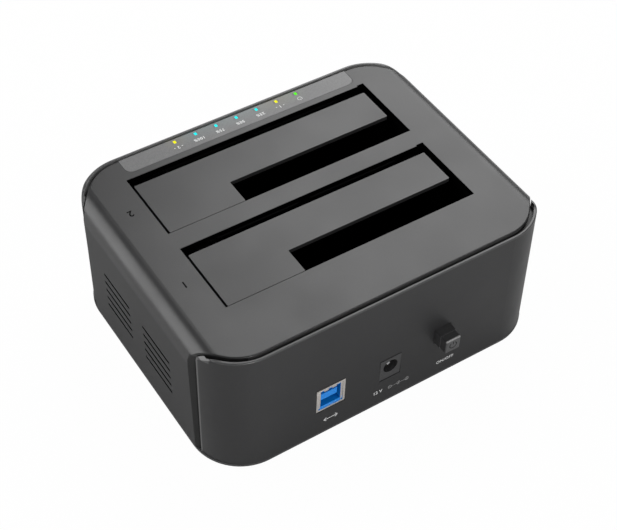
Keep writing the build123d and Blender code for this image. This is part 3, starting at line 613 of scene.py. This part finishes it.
TOP = cad_box[1][2] / MM
FOOT_HALF = 72.0
CASE_HEIGHT = 56.8
SIDE_LEAN = 1.0
VENT_HEIGHT = 1.2
VENT_MARGIN = 0.1
VENT_SKIN = 0.04
VENT_FEET = (16.9, 21.1, 25.3, 29.5, 33.7)
GROOVE_STEP_PAINTED_LIGHT = (0.08, 0.08, 0.08)
GROOVE_END_PAINTED_SHADE = (0.014, 0.014, 0.014)


def coarse_below(material, low, high, rough):
    """The side walls have a deeper, duller grain than the deck and its rounded edge."""
    tree = material.node_tree
    roughness = tree.nodes["Principled BSDF"].inputs["Roughness"]
    rise = ranged(tree, apart(tree, tree.nodes["place"].outputs["Object"])["Z"], low * MM, high * MM)
    fill(tree, roughness, blended(tree, rise, rough, held(roughness)))


deck_black = moulded("deck_black", DECK, DECK_GLOSS, grain=0.28, relief=0.12, shine=DECK_SHINE)
# Painted shade: the walls of the bay openings go near-black.
patch(deck_black, (-57.0, -37.0, 20.0), (57.0, 44.0, TOP - 0.25))
# Painted shade: the vents go near-black, in one box over them all and then row by row out to the leaning
# wall.
patch(deck_black, (-72.1, -26, 15), (72.1, 28, 38))
for vent_foot in VENT_FEET:
    wall_x = FOOT_HALF + SIDE_LEAN * (vent_foot - FOOT_Z) / CASE_HEIGHT - VENT_SKIN
    vent_top = vent_foot + VENT_HEIGHT
    patch(deck_black, (-wall_x, -26, vent_foot - VENT_MARGIN), (wall_x, 28, vent_top + VENT_MARGIN))
# Painted light: the step of the rear groove is paler.
patch(deck_black, (-80, -60, 52), (80, -52.2, TOP - 0.4), GROOVE_STEP_PAINTED_LIGHT, 0.5, 0.3)
# Painted shade: the cover's ends at both grooves are darker.
for low_y, high_y in ((-44.0, -38.5), (38.5, 44.0)):
    patch(deck_black, (-73.5, low_y, FOOT_Z), (73.5, high_y, 55.0), GROOVE_END_PAINTED_SHADE, 0.6, 0.28)
coarse_below(deck_black, 49.0, 55.0, 0.72)
dress(deck_black, "top_cover")

# Bay numbers on the deck: dark ink, read from the light strip's side.
# Pad-printed beside the left end of each opening.

DOWN = (0, 0, -1)
# As BEHIND, for the prints that are read from above.
ABOVE = 0.2
FROM_FRONT = (0, -1, 0)
for words, mark_x, mark_y in (("2", -59.4, 26.4), ("1", -59.6, -13.5)):
    printed("bay_number_" + words, [lettering(words, 3.0)], "top_cover",
            (mark_x * MM, mark_y * MM + case_y, ABOVE), DOWN, FROM_FRONT, black_fill)

# Light strip: a smooth inlay flush with the deck, over the lights' clear pipes.
# It is a little paler and glossier than the grained deck around it.

FIRST_LIGHT = -27.5
LIGHT_PITCH = 9.0
LIGHTS = 7
GLOW = 0.035
GLOW_START_Y, GLOW_FULL_Y = 47.0, 52.5


def glow_round_lights(material):
    """Light that leaks into the strip round each window, painted as a faint glow of its colour."""
    tree = material.node_tree
    shader = tree.nodes["Principled BSDF"]
    x, y, _ = apart(tree, tree.nodes["place"].outputs["Object"])
    strip_start = (FIRST_LIGHT - LIGHT_PITCH * 0.5) * MM
    strip_end = (FIRST_LIGHT + LIGHT_PITCH * (LIGHTS - 0.5)) * MM
    leak_glow = tree.nodes.new("ShaderNodeValToRGB")
    none, yellow, cyan, green = (0, 0, 0, 1), (1.0, 0.8, 0.1, 1), (0.25, 0.8, 0.8, 1), (0.3, 0.9, 0.2, 1)
    stops = ((0.0, none), (0.07, yellow), (0.17, cyan), (0.6, cyan), (0.78, yellow), (0.92, green),
             (1.0, none))
    while len(leak_glow.color_ramp.elements) < len(stops):
        leak_glow.color_ramp.elements.new(0.5)
    for element, (position, colour) in zip(leak_glow.color_ramp.elements, stops):
        element.position = position
        element.color = colour
    fill(tree, leak_glow.inputs["Fac"], ranged(tree, x, strip_start, strip_end))
    fill(tree, shader.inputs["Emission Color"], leak_glow.outputs["Color"])
    strength = ranged(tree, y, case_y + GLOW_START_Y * MM, case_y + GLOW_FULL_Y * MM, to_high=GLOW)
    fill(tree, shader.inputs["Emission Strength"], strength)


strip_satin = moulded("strip_satin", (0.095, 0.095, 0.096), 0.38, grain=0.5, relief=0.02)
glow_round_lights(strip_satin)
dress(strip_satin, "light_strip")

# Strip numbers: fine pale print beside each light, read from the front.
# Bay 2, the copy's progress in per cent, bay 1 and the power symbol.

MARK_Y = 48.1
strip_print = ink("strip_print", (0.62, 0.62, 0.62), 0.5)
for place, words in enumerate(("- 2 -", "100%", "75%", "50%", "25%", "- 1 -", "")):
    parts = [lettering(words, 1.4, spread=1.15)] if words else power_sign(0.9)
    name = "strip_mark_" + (words.strip("- %") if words else "power")
    mark = Vector((FIRST_LIGHT + LIGHT_PITCH * place, MARK_Y, 0)) * MM + Vector((0, case_y, ABOVE))
    printed(name, parts, "light_strip", mark, DOWN, FROM_FRONT, strip_print)

# Light pipes: clear acrylic stems, lit from below in yellow, blue-green and green.
# The lit end is flush with the strip.

WINDOW = 1.1
MASKED = (0.17, 0.17, 0.17)
TINTED = 0.02


def lit(name, colour):
    """A pipe's end: a small glowing window, the rest masked in the strip's own grey."""
    made = moulded(name, MASKED, 0.45, relief=0.04, shine=0.06, tint=1.05)
    tree = made.node_tree
    shader = tree.nodes["Principled BSDF"]
    masked = shader.inputs["Base Color"]
    x = apart(tree, tree.nodes["place"].outputs["Object"])["X"]
    # Four whole pitches keep the sum above zero, and the half puts each light in the middle of a turn.
    along = worked(tree, "ADD", x, (LIGHT_PITCH * 4.5 - FIRST_LIGHT) * MM)
    turns = worked(tree, "MODULO", along, LIGHT_PITCH * MM)
    off_middle = worked(tree, "ABSOLUTE", worked(tree, "SUBTRACT", turns, LIGHT_PITCH / 2 * MM))
    window = worked(tree, "LESS_THAN", off_middle, WINDOW / 2 * MM)
    dimmed = (*[share * TINTED for share in colour], 1)
    fill(tree, masked, blended(tree, window, held(masked), dimmed, "RGBA"))
    fill(tree, shader.inputs["Emission Strength"], window)
    shader.inputs["Emission Color"].default_value = (*colour, 1)
    return made


dress(lit("yellow_glow", (1.0, 0.95, 0.0)), "activity_lights")
dress(lit("cyan_glow", (0.0, 1.0, 1.0)), "progress_lights")
dress(lit("green_glow", (0.10, 1.0, 0.0)), "power_light")

# Floor and backdrop: one pale sheet of paper under the dock, and a plain white room round it.
# Both show white to the camera; the sheet keeps a soft shadow, and what gleams sees them dimmed.

WHITE = 0.98
DIM = 0.12
AMBIENT = 0.30
FLOOR_SIDE = 6.0
FLOOR_Z = -0.2
PAPER = (0.66, 0.66, 0.66)

bpy.ops.mesh.primitive_plane_add(size=FLOOR_SIDE, location=(0, 0, FLOOR_Z * MM))
floor = bpy.context.object
floor.name = "floor_sheet"
paper = bpy.data.materials.new("white_paper")
paper.use_nodes = True
tree = paper.node_tree
shader = tree.nodes["Principled BSDF"]
shader.inputs["Base Color"].default_value = (*PAPER, 1)
shader.inputs["Roughness"].default_value = 0.9
glow = tree.nodes.new("ShaderNodeEmission")
glow.inputs["Strength"].default_value = 1.0
rays = tree.nodes.new("ShaderNodeLightPath")
shares = [worked(tree, "MULTIPLY", rays.outputs[ray], share)
          for ray, share in (("Is Camera Ray", WHITE), ("Is Glossy Ray", DIM), ("Is Transmission Ray", DIM))]
mix = tree.nodes.new("ShaderNodeMixShader")
fill(tree, mix.inputs["Fac"], worked(tree, "MAXIMUM", worked(tree, "MAXIMUM", *shares[:2]), shares[2]))
tree.links.new(shader.outputs["BSDF"], mix.inputs[1])
tree.links.new(glow.outputs["Emission"], mix.inputs[2])
tree.links.new(mix.outputs["Shader"], tree.nodes["Material Output"].inputs["Surface"])
floor.data.materials.append(paper)

world = bpy.data.worlds.new("studio")
bpy.context.scene.world = world
world.use_nodes = True
tree = world.node_tree
backdrop = tree.nodes["Background"]
backdrop.inputs["Color"].default_value = (1, 1, 1, 1)
rays = tree.nodes.new("ShaderNodeLightPath")
level = AMBIENT
for ray, strength in (("Is Camera Ray", WHITE), ("Is Glossy Ray", DIM)):
    level = worked(tree, "MULTIPLY_ADD", rays.outputs[ray], strength - AMBIENT, level)
fill(tree, backdrop.inputs["Strength"], level)

# Studio lamps: a large soft box over the far right gives the deck its even sheen, and one low at the
# left gives the rounded edge its single broad highlight. A narrow one picks out the upper rear edges,
# and a small upright one brushes the rear panel.

LAMPS_FACE = Vector((0, 0, 0.03))


def soft_box(name, aim, distance, size, power):
    """A rectangular lamp that faces the dock from a direction."""
    direction = Vector(aim).normalized()
    data = bpy.data.lights.new(name, "AREA")
    data.shape = "RECTANGLE"
    data.size, data.size_y = size
    data.energy = power
    lamp = bpy.data.objects.new(name, data)
    bpy.context.scene.collection.objects.link(lamp)
    lamp.location = LAMPS_FACE + direction * distance
    lamp.rotation_mode = "QUATERNION"
    lamp.rotation_quaternion = direction.to_track_quat("Z", "Y")


soft_box("top_box", (0.59, 0.50, 0.72), 1.1, (0.8, 0.9), 9.1)
soft_box("left_strip", (-0.69, 0.56, 0.46), 1.0, (0.7, 0.95), 8.6)
soft_box("edge_strip", (0.377, -0.737, 0.561), 1.0, (0.6, 0.14), 2.0)
soft_box("rear_strip", (-0.20, -0.95, 0.10), 0.6, (0.04, 0.20), 1.6)

# Camera: where the photographer stood, above the rear left corner with a long lens.
# Its place, its turn and its focal length in pixels were fitted to the straight edges of the dock.

IMAGE_WIDTH, IMAGE_HEIGHT = 617, 530
FOCAL_LENGTH = 1405.39
OPTICAL_CENTRE = (305.293, 266.227)
SENSOR_WIDTH = 36.0

view = bpy.data.cameras.new("camera")
camera = bpy.data.objects.new("camera", view)
bpy.context.scene.collection.objects.link(camera)
right = Vector((0.84258, -0.53816, 0.02105))
up = Vector((0.38503, 0.62923, 0.67514))
back = Vector((-0.37658, -0.56075, 0.73739))
spot = Vector((-203.95, -302.53, 419.32)) * MM + Vector((0, case_y, 0))
camera.matrix_world = Matrix((
    (right.x, up.x, back.x, spot.x),
    (right.y, up.y, back.y, spot.y),
    (right.z, up.z, back.z, spot.z),
    (0, 0, 0, 1),
))
view.sensor_width = SENSOR_WIDTH
view.lens = FOCAL_LENGTH * SENSOR_WIDTH / IMAGE_WIDTH
view.shift_x = (IMAGE_WIDTH / 2 - OPTICAL_CENTRE[0]) / IMAGE_WIDTH
view.shift_y = (OPTICAL_CENTRE[1] - IMAGE_HEIGHT / 2) / IMAGE_WIDTH
view.clip_start = 0.01
bpy.context.scene.camera = camera
bpy.context.scene.view_settings.view_transform = "Standard"
